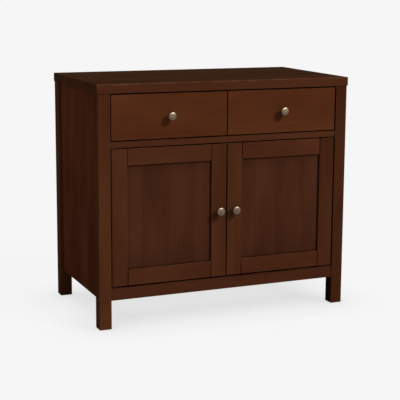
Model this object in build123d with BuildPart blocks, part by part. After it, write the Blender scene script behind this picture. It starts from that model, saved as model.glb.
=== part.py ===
from build123d import *
import os

os.makedirs("parts", exist_ok=True)

# Sideboard with two drawers over two framed doors, in millimetres.
# +Z is up, the front faces -Y, and the origin is on the floor under the middle of the whole box.
# Left and right are as seen from the front, so left is -X. Side is -1 for left and 1 for right.

# Overall, over the posts
WIDTH = 965.0
DEPTH = 527.0
HEIGHT = 860.0

# Carcass
POST = 44.0
POST_EDGE = 1.2  # rounding of the posts' long edges
FOOT_EDGE = 1.0  # easing round the bottom of each post, less than the rounding
SLAB = 32.0
SLAB_OVERHANG = 3.0
SLAB_EDGE = 1.5
LEG_CLEAR = 102.0  # floor to the bottom rails and end panels
BOTTOM_RAIL = 45.0
MIDDLE_RAIL = 22.0
TOP_RAIL = 22.0
RAIL_DEPTH = 40.0  # bottom and middle front rails, front to back
THIN_RAIL_DEPTH = 20.0  # top front rail and back rails, front to back
RAIL_EDGE = 0.8
TENON = 12.0  # thickness of a tenon, front to back
TENON_WALL = 1.0  # wood left between a tenon and an end panel's tongue
TENON_SHOULDER = 5.0
SIDE_THICKNESS = 18.0
SIDE_SETBACK = 10.0  # end panels behind the posts' outer faces
TONGUE = 8.0  # thickness and reach of an end panel's tongue
BACK_THICKNESS = 6.0
BACK_SETBACK = 2.0
FLOOR_THICKNESS = 18.0
DUST_THICKNESS = 12.0
DIVIDER_THICKNESS = 18.0
HOUSING = 6.0  # depth of the grooves that hold the floor and dust panels
SHELF_THICKNESS = 18.0
SHELF_TOP = 402.0
SHELF_SETBACK = 7.0  # shelf behind the doors' back faces
SHELF_EASE = 1.0
SHELF_PIN_RADIUS = 2.5
SHELF_PIN_IN = 12.0
SHELF_PIN_OUT = 10.0
SHELF_PIN_FRONT = 7.0  # pin behind the shelf's front edge
SHELF_PIN_BACK = 15.0  # pin before the shelf's back edge

# Doors and drawer fronts
FRONT_SETBACK = 3.0  # fronts and front rails behind the posts' front faces
FRONT_THICKNESS = 20.0
FRONT_EDGE = 0.8  # rounding of the drawer fronts' edges
DOOR_CHAMFER = 1.2  # on stiles and rails, so each joint between them shows as a V
REVEAL = 4.0  # gap round doors and drawer fronts
TOP_GAP = 5.0  # gap between the drawer fronts and the slab
STOP_GAP = 1.0  # between a closed front and what stands behind it
DRAWER_FRONT_HEIGHT = 157.0
STILE = 58.0
DOOR_RAIL = 59.0
DOOR_PANEL = 6.0
DOOR_PANEL_SETBACK = 7.0
DOOR_GROOVE = 9.0
PANEL_ROOM = 1.0  # left at the bottom of the groove for the panel to move

# Drawer boxes
BOX_HEIGHT = 120.0
BOX_CLEAR = 10.0  # between the box and the top rails
BOX_LENGTH = 440.0
BOX_SIDE = 12.0
BOX_BACK = 12.0
BOX_BACK_SETBACK = 8.0
BOX_BOTTOM = 6.0
BOX_BOTTOM_LIFT = 8.0
BOX_GROOVE = 5.0
FRONT_HOUSING = 8.0  # reach of the box sides into the drawer front
BACK_HOUSING = 4.0  # reach of the box back into the box sides

# Drawer slides: three steel channels, one inside the other
SLIDE_WIDTH = 12.7
SLIDE_HEIGHT = 45.0
SLIDE_LENGTH = 450.0
SLIDE_SETBACK = 3.0  # behind the drawer front's back face
SLIDE_STEEL = 1.2
SLIDE_RUN = 0.4  # running gap between the channels
SPACER_MARGIN = 8.0  # spacer above and below its slide

# Knife hinges: flat leaves let into the edges, turning on a pin in the plane of the door's face
LEAF = 2.0
LEAF_LENGTH = 42.0
LEAF_WIDTH = 10.0
LEAF_SPACE = 2.0  # between the two leaves
LEAF_SCREWS = (10.0, 32.0)  # from the leaf's outer end
EAR_REACH = 5.0  # from the pin to the leaf's outer end
EAR_ROOT = 4.0  # from the leaf's outer end to the middle of the ear's root
BARREL_RADIUS = 3.0
BARREL_CLEARANCE = 0.5  # between the barrel and the post
HINGE_PIN_RADIUS = 1.5
HINGE_PIN_SHORT = 0.2

# Magnetic catch and strike plates
CATCH_WIDTH = 80.0
CATCH_DEPTH = 14.0
CATCH_HEIGHT = 20.0
CATCH_SLOT = 2.0
CATCH_SLOT_AT = 20.0
CATCH_SCREW_AT = 32.0
CATCH_WEB = 6.0  # left above the heads of the catch's screws
STRIKE_THICKNESS = 1.2
STRIKE_WIDTH = 26.0
STRIKE_HEIGHT = 10.0
STRIKE_DROP = 1.5  # below the doors' top edge
STRIKE_GAP = 0.3

# Knobs
KNOB_LENGTH = 27.0
KNOB_RADIUS = 16.0
KNOB_FACE_ROUND = 48.0  # radius of the slightly domed face
KNOB_EDGE_ROUND = 7.0  # rounding from the face out to the rim
KNOB_UNDER_RADIUS = 13.0
KNOB_UNDER_AT = 15.0
KNOB_UNDER_ROUND = 7.0  # rounding from the underside out to the rim
KNOB_NECK_RADIUS = 5.5
KNOB_NECK_AT = 8.0
KNOB_FOOT_RADIUS = 8.0
KNOB_FOOT_HEIGHT = 2.0
KNOB_SCREW_RADIUS = 2.0
KNOB_SCREW_REACH = 11.0
KNOB_SCREW_HEAD_RADIUS = 4.0
KNOB_SCREW_HEAD = 2.4
KNOB_SCREW_ROUND = 0.8
KNOB_THREAD_DEPTH = 13.0

# Wood screws, all of one size
SCREW_RADIUS = 1.75
SCREW_HEAD_RADIUS = 3.5
SCREW_HEAD = 1.75
SCREW_LENGTH = 18.0
BACK_SCREW_COUNT = 5  # along a rail; the top screws stand between them
SCREW_END = 38.5  # from the post to the outermost screw
TOP_SCREW_RECESS = 12.0  # depth of the counterbore under a top rail
RECESS_RADIUS = 4.5

# Fits
GLUE_GAP = 0.1  # round tongues, tenons and inlaid leaves
LOOSE_GAP = 0.5  # round boards that are dropped in
FIXED_FIT = 0.02  # round a pin that is held fast
RUN_FIT = 0.05  # round a pin that turns, and round screws
CUT_PAST = 1.0  # how far a cut runs past an open end

# Planes across the depth
BACK_Y = (DEPTH + KNOB_LENGTH - FRONT_SETBACK) / 2
FRONT_Y = BACK_Y - DEPTH
FACE_Y = FRONT_Y + FRONT_SETBACK
BEHIND_Y = FACE_Y + FRONT_THICKNESS
STOP_Y = BEHIND_Y + STOP_GAP
BACK_PANEL_Y = (BACK_Y - BACK_SETBACK - BACK_THICKNESS, BACK_Y - BACK_SETBACK)
INSIDE_BACK_Y = BACK_PANEL_Y[0]
FRONT_POST_Y = (FRONT_Y, FRONT_Y + POST)
BACK_POST_Y = (BACK_Y - POST, BACK_Y)
FRONT_RAIL_Y = (FACE_Y, FACE_Y + RAIL_DEPTH)
TOP_FRONT_RAIL_Y = (STOP_Y, STOP_Y + THIN_RAIL_DEPTH)
BACK_RAIL_Y = (INSIDE_BACK_Y - THIN_RAIL_DEPTH, INSIDE_BACK_Y)
BETWEEN_POSTS_Y = (FRONT_POST_Y[1], BACK_POST_Y[0])
DOOR_PANEL_Y = (FACE_Y + DOOR_PANEL_SETBACK, FACE_Y + DOOR_PANEL_SETBACK + DOOR_PANEL)
SHELF_Y = (BEHIND_Y + SHELF_SETBACK, INSIDE_BACK_Y - LOOSE_GAP)
LEAF_Y = FACE_Y + FRONT_THICKNESS / 2

# Planes across the width, for the right-hand side
POST_OUT = WIDTH / 2
POST_IN = POST_OUT - POST
SIDE_X = (POST_OUT - SIDE_SETBACK - SIDE_THICKNESS, POST_OUT - SIDE_SETBACK)
FRONT_X = (REVEAL / 2, POST_IN - REVEAL)
PIVOT_X = POST_IN - BARREL_CLEARANCE - BARREL_RADIUS
LEAF_END_X = PIVOT_X - EAR_REACH
DIVIDER_FACE = DIVIDER_THICKNESS / 2
TENON_END_X = (SIDE_X[0] + SIDE_X[1] - TONGUE) / 2 - TENON_WALL
BOX_X = (DIVIDER_FACE + SLIDE_WIDTH, POST_IN - SLIDE_WIDTH)

# Levels
SLAB_Z = HEIGHT - SLAB
DRAWER_Z = (SLAB_Z - TOP_GAP - DRAWER_FRONT_HEIGHT, SLAB_Z - TOP_GAP)
MIDDLE_RAIL_Z = (DRAWER_Z[0] - REVEAL - MIDDLE_RAIL, DRAWER_Z[0] - REVEAL)
BOTTOM_RAIL_Z = (LEG_CLEAR, LEG_CLEAR + BOTTOM_RAIL)
TOP_RAIL_Z = (SLAB_Z - TOP_RAIL, SLAB_Z)
DOOR_Z = (BOTTOM_RAIL_Z[1] + REVEAL, MIDDLE_RAIL_Z[0] - REVEAL)
CASE_Z = (LEG_CLEAR, SLAB_Z)
FLOOR_Z = (BOTTOM_RAIL_Z[1], BOTTOM_RAIL_Z[1] + FLOOR_THICKNESS)
DUST_Z = (MIDDLE_RAIL_Z[1] - DUST_THICKNESS, MIDDLE_RAIL_Z[1])
SHELF_Z = (SHELF_TOP - SHELF_THICKNESS, SHELF_TOP)
SHELF_PIN_Z = SHELF_Z[0] - SHELF_PIN_RADIUS - RUN_FIT
BOX_Z = (TOP_RAIL_Z[0] - BOX_CLEAR - BOX_HEIGHT, TOP_RAIL_Z[0] - BOX_CLEAR)
SLIDE_Z = (BOX_Z[0] + BOX_Z[1]) / 2
SLIDE_Y = (BEHIND_Y + SLIDE_SETBACK, BEHIND_Y + SLIDE_SETBACK + SLIDE_LENGTH)
LEAF_PROUD = (REVEAL - LEAF_SPACE) / 2


def middle(span):
    return (span[0] + span[1]) / 2


def length(span):
    return span[1] - span[0]


def grown(span, by):
    return (span[0] - by, span[1] + by)


def about(centre, size):
    return (centre - size / 2, centre + size / 2)


def sided(side, span):
    """A right-hand span, or its mirror image for the left side."""
    return tuple(sorted((side * span[0], side * span[1])))


def block(x, y, z, mode=Mode.ADD):
    """A block between two values along each axis."""
    with Locations((middle(x), middle(y), middle(z))):
        Box(length(x), length(y), length(z), mode=mode)


def save(builder, name):
    builder.part.label = name
    export_step(builder.part, f"parts/{name}.step")


# Screws. Each seat is a plane on the flat of the head, and the screw runs along its -Z.

SCREW_PITCH = 2 * (POST_IN - SCREW_END) / (BACK_SCREW_COUNT - 1)
BACK_SCREW_XS = [SCREW_END - POST_IN + SCREW_PITCH * step for step in range(BACK_SCREW_COUNT)]
TOP_SCREW_XS = [x + SCREW_PITCH / 2 for x in BACK_SCREW_XS[:-1]]


def screws(seats, gap=0.0, mode=Mode.ADD):
    """Countersunk screws on the seats, or with a gap and Mode.SUBTRACT the holes for them."""
    for seat in seats:
        with Locations(seat):
            Cone(
                SCREW_RADIUS + gap,
                SCREW_HEAD_RADIUS + gap,
                SCREW_HEAD,
                align=(Align.CENTER, Align.CENTER, Align.MAX),
                mode=mode,
            )
            Cylinder(
                SCREW_RADIUS + gap,
                SCREW_LENGTH + gap,
                align=(Align.CENTER, Align.CENTER, Align.MAX),
                mode=mode,
            )


def screw_holes(seats):
    screws(seats, gap=RUN_FIT, mode=Mode.SUBTRACT)


def recesses(seats, depth):
    """Counterbores from the open side down to the heads."""
    for seat in seats:
        with Locations(seat):
            Cylinder(
                RECESS_RADIUS,
                depth + CUT_PAST,
                align=(Align.CENTER, Align.CENTER, Align.MIN),
                mode=Mode.SUBTRACT,
            )


def top_screw_seats(rail_y):
    level = TOP_RAIL_Z[0] + TOP_SCREW_RECESS
    return [Plane(origin=(x, middle(rail_y), level), z_dir=(0, 0, -1)) for x in TOP_SCREW_XS]


def back_screw_seats(rail_z):
    return [
        Plane(origin=(x, BACK_PANEL_Y[1], middle(rail_z)), z_dir=(0, 1, 0)) for x in BACK_SCREW_XS
    ]


# Knife hinges. Up is 1 for the hinge at the top of a door and -1 for the one at its bottom.


def case_face_z(up):
    """The rail's face that the hinge's fixed leaf is let into."""
    return MIDDLE_RAIL_Z[0] if up > 0 else BOTTOM_RAIL_Z[1]


def case_leaf_z(up):
    """The fixed leaf's open face and buried face."""
    open_face = case_face_z(up) - up * LEAF_PROUD
    return (open_face, open_face + up * LEAF)


def door_leaf_z(up):
    """The door leaf's open face and buried face."""
    edge = DOOR_Z[1] if up > 0 else DOOR_Z[0]
    open_face = edge + up * LEAF_PROUD
    return (open_face, open_face - up * LEAF)


def leaf_outline(side, gap=0.0):
    """A leaf from above: a strip along the door's edge, and an ear out to the pin."""
    with Locations((side * (LEAF_END_X - LEAF_LENGTH / 2), LEAF_Y)):
        Rectangle(LEAF_LENGTH + 2 * gap, LEAF_WIDTH + 2 * gap)
    root = Vector(side * (LEAF_END_X - EAR_ROOT), LEAF_Y)
    pivot = Vector(side * PIVOT_X, FACE_Y)
    SlotCenterPoint((root + pivot) / 2, pivot, 2 * (BARREL_RADIUS + gap))


def leaf_seats(side, open_face, facing):
    """Screw seats on a leaf's open face, which looks up for facing 1 and down for -1."""
    return [
        Plane(origin=(side * (LEAF_END_X - at), LEAF_Y, open_face), z_dir=(0, 0, facing))
        for at in LEAF_SCREWS
    ]


def case_leaf_seats(side, up):
    return leaf_seats(side, case_leaf_z(up)[0], -up)


def door_leaf_seats(side, up):
    return leaf_seats(side, door_leaf_z(up)[0], up)


# Catch under the middle rail, and the strike plates that it holds

CATCH_FACE_Y = BEHIND_Y + STRIKE_THICKNESS + STRIKE_GAP
CATCH_Y = (CATCH_FACE_Y, CATCH_FACE_Y + CATCH_DEPTH)
CATCH_Z = (MIDDLE_RAIL_Z[0] - CATCH_HEIGHT, MIDDLE_RAIL_Z[0])
STRIKE_Z = (DOOR_Z[1] - STRIKE_DROP - STRIKE_HEIGHT, DOOR_Z[1] - STRIKE_DROP)
CATCH_SEATS = [
    Plane(origin=(x, middle(CATCH_Y), CATCH_Z[1] - CATCH_WEB), z_dir=(0, 0, -1))
    for x in (-CATCH_SCREW_AT, CATCH_SCREW_AT)
]


def strike_seat(side):
    return Plane(
        origin=(side * CATCH_SLOT_AT, BEHIND_Y + STRIKE_THICKNESS, middle(STRIKE_Z)),
        z_dir=(0, 1, 0),
    )


# Rails, each with its span front to back and its levels

RAILS = {
    "bottom_front_rail": (FRONT_RAIL_Y, BOTTOM_RAIL_Z),
    "middle_front_rail": (FRONT_RAIL_Y, MIDDLE_RAIL_Z),
    "top_front_rail": (TOP_FRONT_RAIL_Y, TOP_RAIL_Z),
    "bottom_back_rail": (BACK_RAIL_Y, BOTTOM_RAIL_Z),
    "top_back_rail": (BACK_RAIL_Y, TOP_RAIL_Z),
}


def tenon_y(rail_y):
    return about(middle(rail_y), TENON)


def tenon_z(rail_z):
    return grown(rail_z, -TENON_SHOULDER)


def side_tongue(side, gap=0.0, mode=Mode.ADD):
    """An end panel's tongues, front and back, or the grooves for them in the posts."""
    block(
        sided(side, grown(about(middle(SIDE_X), TONGUE), gap)),
        grown(BETWEEN_POSTS_Y, TONGUE + gap),
        (CASE_Z[0] - gap, CASE_Z[1]),
        mode=mode,
    )


with BuildPart() as top_slab:
    block(
        (-POST_OUT - SLAB_OVERHANG, POST_OUT + SLAB_OVERHANG),
        (FRONT_Y - SLAB_OVERHANG, BACK_Y),
        (SLAB_Z, HEIGHT),
    )
    fillet(top_slab.edges(), SLAB_EDGE)
    for top_rail_y in (TOP_FRONT_RAIL_Y, BACK_RAIL_Y):
        screw_holes(top_screw_seats(top_rail_y))
save(top_slab, "top_slab")

POSTS = {
    "front_left_post": (-1, FRONT_POST_Y),
    "front_right_post": (1, FRONT_POST_Y),
    "back_left_post": (-1, BACK_POST_Y),
    "back_right_post": (1, BACK_POST_Y),
}
PIN_YS = (SHELF_Y[0] + SHELF_PIN_FRONT, SHELF_Y[1] - SHELF_PIN_BACK)

for post_name, (side, post_y) in POSTS.items():
    with BuildPart() as post:
        block(sided(side, (POST_IN, POST_OUT)), post_y, (0, SLAB_Z))
        fillet(post.edges().filter_by(Axis.Z), POST_EDGE)
        chamfer(post.faces().sort_by(Axis.Z)[0].edges(), FOOT_EDGE)
        for rail_y, rail_z in RAILS.values():
            if post_y[0] < middle(rail_y) < post_y[1]:
                block(
                    sided(side, (POST_IN - CUT_PAST, TENON_END_X + GLUE_GAP)),
                    grown(tenon_y(rail_y), GLUE_GAP),
                    grown(tenon_z(rail_z), GLUE_GAP),
                    mode=Mode.SUBTRACT,
                )
        side_tongue(side, GLUE_GAP, Mode.SUBTRACT)
        for pin_y in PIN_YS:
            if post_y[0] < pin_y < post_y[1]:
                with Locations(Plane(origin=(side * POST_IN, pin_y, SHELF_PIN_Z), z_dir=(-side, 0, 0))):
                    Hole(SHELF_PIN_RADIUS + RUN_FIT, SHELF_PIN_IN + RUN_FIT)
    save(post, post_name)

for side_name, side in (("left_side_panel", -1), ("right_side_panel", 1)):
    with BuildPart() as side_panel:
        block(sided(side, SIDE_X), BETWEEN_POSTS_Y, CASE_Z)
        side_tongue(side)
        for deck_z in (FLOOR_Z, DUST_Z):
            block(
                sided(side, (SIDE_X[0] - CUT_PAST, SIDE_X[0] + HOUSING)),
                grown(BETWEEN_POSTS_Y, -GLUE_GAP),
                grown(deck_z, GLUE_GAP),
                mode=Mode.SUBTRACT,
            )
    save(side_panel, side_name)

for rail_name, (rail_y, rail_z) in RAILS.items():
    with BuildPart() as rail:
        block((-POST_IN, POST_IN), rail_y, rail_z)
        chamfer(rail.edges().filter_by(Axis.X), RAIL_EDGE)
        block((-TENON_END_X, TENON_END_X), tenon_y(rail_y), tenon_z(rail_z))
        if rail_z == TOP_RAIL_Z:
            screw_holes(top_screw_seats(rail_y))
            recesses(top_screw_seats(rail_y), TOP_SCREW_RECESS)
        if rail_y == BACK_RAIL_Y:
            screw_holes(back_screw_seats(rail_z))
        if rail_name == "middle_front_rail":
            screw_holes(CATCH_SEATS)
        for up in (-1, 1):
            if rail_y == FRONT_RAIL_Y and case_face_z(up) in rail_z:
                for side in (-1, 1):
                    buried = case_leaf_z(up)[1]
                    with BuildSketch(Plane.XY.offset(buried)):
                        leaf_outline(side, GLUE_GAP)
                    extrude(amount=-up * LEAF, mode=Mode.SUBTRACT)
                    screw_holes(case_leaf_seats(side, up))
    save(rail, rail_name)


def make_deck(name, front_y, z):
    """A full-depth board between the end panels, housed in them and notched round the posts."""
    with BuildPart() as deck:
        block(grown((-POST_IN, POST_IN), -LOOSE_GAP), (front_y, INSIDE_BACK_Y), z)
        block(
            grown((-SIDE_X[0], SIDE_X[0]), HOUSING - LOOSE_GAP),
            grown(BETWEEN_POSTS_Y, -LOOSE_GAP),
            z,
        )
    save(deck, name)


make_deck("floor_panel", STOP_Y, FLOOR_Z)
make_deck("dust_panel", FRONT_RAIL_Y[1], DUST_Z)

with BuildPart() as drawer_divider:
    block(
        (-DIVIDER_FACE, DIVIDER_FACE),
        (STOP_Y, INSIDE_BACK_Y),
        (MIDDLE_RAIL_Z[1], TOP_RAIL_Z[0]),
    )
save(drawer_divider, "drawer_divider")

with BuildPart() as back_panel:
    block(grown((-POST_IN, POST_IN), -LOOSE_GAP), BACK_PANEL_Y, CASE_Z)
    for rail_z in (BOTTOM_RAIL_Z, TOP_RAIL_Z):
        screw_holes(back_screw_seats(rail_z))
save(back_panel, "back_panel")

with BuildPart() as shelf:
    block(grown((-POST_IN, POST_IN), -SHELF_EASE), SHELF_Y, SHELF_Z)
    chamfer(shelf.faces().sort_by(Axis.Y)[0].edges().filter_by(Axis.X), RAIL_EDGE)
save(shelf, "shelf")

with BuildPart() as shelf_pins:
    for side in (-1, 1):
        for pin_y in PIN_YS:
            start = side * (POST_IN - SHELF_PIN_OUT)
            with Locations(Plane(origin=(start, pin_y, SHELF_PIN_Z), z_dir=(side, 0, 0))):
                Cylinder(
                    SHELF_PIN_RADIUS,
                    SHELF_PIN_OUT + SHELF_PIN_IN,
                    align=(Align.CENTER, Align.CENTER, Align.MIN),
                )
save(shelf_pins, "shelf_pins")

with BuildPart() as slide_spacers:
    for side in (-1, 1):
        block(
            sided(side, (POST_IN, SIDE_X[0])),
            BETWEEN_POSTS_Y,
            about(SLIDE_Z, SLIDE_HEIGHT + 2 * SPACER_MARGIN),
        )
save(slide_spacers, "slide_spacers")


def channels(side, near, far, height, web_near):
    """One member of both slides of a drawer.

    Near and far are measured from the case towards the drawer box, and the channel's web is at
    the near or the far one.
    """
    z = about(SLIDE_Z, height)
    hollow = (near + SLIDE_STEEL, far) if web_near else (near, far - SLIDE_STEEL)
    for wall, inward in ((DIVIDER_FACE, 1), (POST_IN, -1)):
        block(sided(side, (wall + inward * near, wall + inward * far)), SLIDE_Y, z)
        block(
            sided(side, (wall + inward * hollow[0], wall + inward * hollow[1])),
            SLIDE_Y,
            grown(z, -SLIDE_STEEL),
            mode=Mode.SUBTRACT,
        )


MIDDLE_HEIGHT = SLIDE_HEIGHT - 2 * (SLIDE_STEEL + SLIDE_RUN)
INNER_HEIGHT = MIDDLE_HEIGHT - 2 * (SLIDE_STEEL + SLIDE_RUN)
MIDDLE_NEAR = SLIDE_STEEL + SLIDE_RUN
MIDDLE_FAR = SLIDE_WIDTH - SLIDE_STEEL - SLIDE_RUN
INNER_NEAR = MIDDLE_NEAR + SLIDE_STEEL + SLIDE_RUN

with BuildPart() as case_slides:
    for side in (-1, 1):
        channels(side, 0.0, MIDDLE_FAR, SLIDE_HEIGHT, web_near=True)
save(case_slides, "case_slides")

with BuildPart() as door_catch:
    block(about(0.0, CATCH_WIDTH), CATCH_Y, CATCH_Z)
    fillet(door_catch.edges().filter_by(Axis.Z), RAIL_EDGE)
    for slot_x in (-CATCH_SLOT_AT, CATCH_SLOT_AT):
        block(
            about(slot_x, STRIKE_WIDTH),
            (CATCH_Y[0] - CUT_PAST, CATCH_Y[0] + STRIKE_GAP),
            about(middle(STRIKE_Z), CATCH_SLOT),
            mode=Mode.SUBTRACT,
        )
    screw_holes(CATCH_SEATS)
    recesses(CATCH_SEATS, CATCH_HEIGHT - CATCH_WEB)
save(door_catch, "door_catch")

with BuildPart() as case_hinge_leaves:
    for side in (-1, 1):
        for up in (-1, 1):
            open_face, buried_face = case_leaf_z(up)
            with BuildSketch(Plane.XY.offset(open_face)):
                leaf_outline(side)
            extrude(amount=buried_face - open_face)
            pivot = Plane(origin=(side * PIVOT_X, FACE_Y, buried_face), z_dir=(0, 0, -up))
            with Locations(pivot):
                Cylinder(
                    BARREL_RADIUS,
                    LEAF + LEAF_SPACE - RUN_FIT,
                    align=(Align.CENTER, Align.CENTER, Align.MIN),
                )
                Cylinder(
                    HINGE_PIN_RADIUS + FIXED_FIT,
                    LEAF + LEAF_SPACE,
                    align=(Align.CENTER, Align.CENTER, Align.MIN),
                    mode=Mode.SUBTRACT,
                )
            screw_holes(case_leaf_seats(side, up))
save(case_hinge_leaves, "case_hinge_leaves")

with BuildPart() as hinge_pins:
    for side in (-1, 1):
        for up in (-1, 1):
            pivot = Plane(origin=(side * PIVOT_X, FACE_Y, case_leaf_z(up)[1]), z_dir=(0, 0, -up))
            with Locations(pivot):
                Cylinder(
                    HINGE_PIN_RADIUS,
                    2 * LEAF + LEAF_SPACE - HINGE_PIN_SHORT,
                    align=(Align.CENTER, Align.CENTER, Align.MIN),
                )
save(hinge_pins, "hinge_pins")

with BuildPart() as case_screws:
    screws(top_screw_seats(TOP_FRONT_RAIL_Y) + top_screw_seats(BACK_RAIL_Y))
    screws(back_screw_seats(BOTTOM_RAIL_Z) + back_screw_seats(TOP_RAIL_Z))
    screws(CATCH_SEATS)
    for side in (-1, 1):
        for up in (-1, 1):
            screws(case_leaf_seats(side, up))
save(case_screws, "case_screws")


def knob_hole(x, z):
    """Clearance hole through a front for a knob's screw."""
    with Locations(Plane(origin=(x, FACE_Y, z), z_dir=(0, -1, 0))):
        Hole(KNOB_SCREW_RADIUS + RUN_FIT, FRONT_THICKNESS)


def make_knob(name, x, z):
    """A round mushroom knob on the front's face, and the machine screw that holds it.

    The domed face and the rounding of its edge are arcs that run into each other, which sets the
    height of the rim, the knob's widest ring.
    """
    outward = Plane(origin=(x, FACE_Y, z), x_dir=(1, 0, 0), z_dir=(0, 0, -1))
    foot = (KNOB_FOOT_RADIUS, KNOB_FOOT_HEIGHT)
    neck = (KNOB_NECK_RADIUS, KNOB_NECK_AT)
    under = (KNOB_UNDER_RADIUS, KNOB_UNDER_AT)
    edge_centre_x = KNOB_RADIUS - KNOB_EDGE_ROUND
    centre_distance = KNOB_FACE_ROUND - KNOB_EDGE_ROUND
    centre_rise = (centre_distance**2 - edge_centre_x**2) ** 0.5
    rim = (KNOB_RADIUS, KNOB_LENGTH - KNOB_FACE_ROUND + centre_rise)
    edge = (
        edge_centre_x * KNOB_FACE_ROUND / centre_distance,
        rim[1] + centre_rise * KNOB_EDGE_ROUND / centre_distance,
    )
    crown = (0, KNOB_LENGTH)
    with BuildPart() as knob:
        with BuildSketch(outward):
            with BuildLine():
                Polyline((0, 0), (KNOB_FOOT_RADIUS, 0), foot)
                TangentArc(neck, foot, tangent=(0, -1))
                TangentArc(neck, under, tangent=(0, 1))
                RadiusArc(under, rim, -KNOB_UNDER_ROUND)
                RadiusArc(rim, edge, -KNOB_EDGE_ROUND)
                RadiusArc(edge, crown, -KNOB_FACE_ROUND)
                Line(crown, (0, 0))
            make_face()
        revolve(axis=Axis((x, FACE_Y, z), (0, -1, 0)))
        with Locations(Plane(origin=(x, FACE_Y, z), z_dir=(0, 1, 0))):
            Hole(KNOB_SCREW_RADIUS + FIXED_FIT, KNOB_THREAD_DEPTH)
    save(knob, f"{name}_knob")

    with BuildPart() as knob_screw:
        with Locations(Plane(origin=(x, BEHIND_Y, z), z_dir=(0, 1, 0))):
            Cylinder(
                KNOB_SCREW_HEAD_RADIUS,
                KNOB_SCREW_HEAD,
                align=(Align.CENTER, Align.CENTER, Align.MIN),
            )
            Cylinder(
                KNOB_SCREW_RADIUS,
                FRONT_THICKNESS + KNOB_SCREW_REACH,
                align=(Align.CENTER, Align.CENTER, Align.MAX),
            )
        fillet(knob_screw.faces().sort_by(Axis.Y)[-1].edges(), KNOB_SCREW_ROUND)
    save(knob_screw, f"{name}_knob_screw")


def make_drawer(name, side):
    """A drawer: its front, the box behind it, the knob and the slide members that it carries."""
    knob_at = (side * middle(FRONT_X), middle(DRAWER_Z))
    side_xs = ((BOX_X[0], BOX_X[0] + BOX_SIDE), (BOX_X[1] - BOX_SIDE, BOX_X[1]))
    inside_x = (side_xs[0][1], side_xs[1][0])
    bottom_x = sided(side, grown(inside_x, BOX_GROOVE - LOOSE_GAP))
    bottom_z = (BOX_Z[0] + BOX_BOTTOM_LIFT, BOX_Z[0] + BOX_BOTTOM_LIFT + BOX_BOTTOM)
    box_end_y = BEHIND_Y + BOX_LENGTH
    back_y = (box_end_y - BOX_BACK_SETBACK - BOX_BACK, box_end_y - BOX_BACK_SETBACK)
    bottom_y = (BEHIND_Y - BOX_GROOVE + LOOSE_GAP, back_y[1])
    back_z = (bottom_z[1], BOX_Z[1])

    with BuildPart() as front:
        block(sided(side, FRONT_X), (FACE_Y, BEHIND_Y), DRAWER_Z)
        fillet(front.faces().sort_by(Axis.Y)[0].edges(), FRONT_EDGE)
        for side_x in side_xs:
            block(
                sided(side, grown(side_x, GLUE_GAP)),
                (BEHIND_Y - FRONT_HOUSING - GLUE_GAP, BEHIND_Y + CUT_PAST),
                grown(BOX_Z, GLUE_GAP),
                mode=Mode.SUBTRACT,
            )
        block(
            sided(side, inside_x),
            (BEHIND_Y - BOX_GROOVE, BEHIND_Y + CUT_PAST),
            grown(bottom_z, GLUE_GAP),
            mode=Mode.SUBTRACT,
        )
        knob_hole(*knob_at)
    save(front, f"{name}_front")

    with BuildPart() as sides:
        for side_x in side_xs:
            block(sided(side, side_x), (BEHIND_Y - FRONT_HOUSING, box_end_y), BOX_Z)
        block(
            sided(side, grown(inside_x, BOX_GROOVE)),
            (BEHIND_Y - FRONT_HOUSING - CUT_PAST, box_end_y + CUT_PAST),
            grown(bottom_z, GLUE_GAP),
            mode=Mode.SUBTRACT,
        )
        block(
            sided(side, grown(inside_x, BACK_HOUSING + GLUE_GAP)),
            grown(back_y, GLUE_GAP),
            (back_z[0], back_z[1] + CUT_PAST),
            mode=Mode.SUBTRACT,
        )
    save(sides, f"{name}_sides")

    with BuildPart() as back:
        block(sided(side, grown(inside_x, BACK_HOUSING)), back_y, back_z)
    save(back, f"{name}_back")

    with BuildPart() as bottom:
        block(bottom_x, bottom_y, bottom_z)
    save(bottom, f"{name}_bottom")

    with BuildPart() as slides:
        channels(side, INNER_NEAR, SLIDE_WIDTH, INNER_HEIGHT, web_near=False)
    save(slides, f"{name}_slides")

    with BuildPart() as middle_slides:
        channels(side, MIDDLE_NEAR, MIDDLE_FAR, MIDDLE_HEIGHT, web_near=True)
    save(middle_slides, f"{name}_middle_slides")

    make_knob(name, *knob_at)


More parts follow.
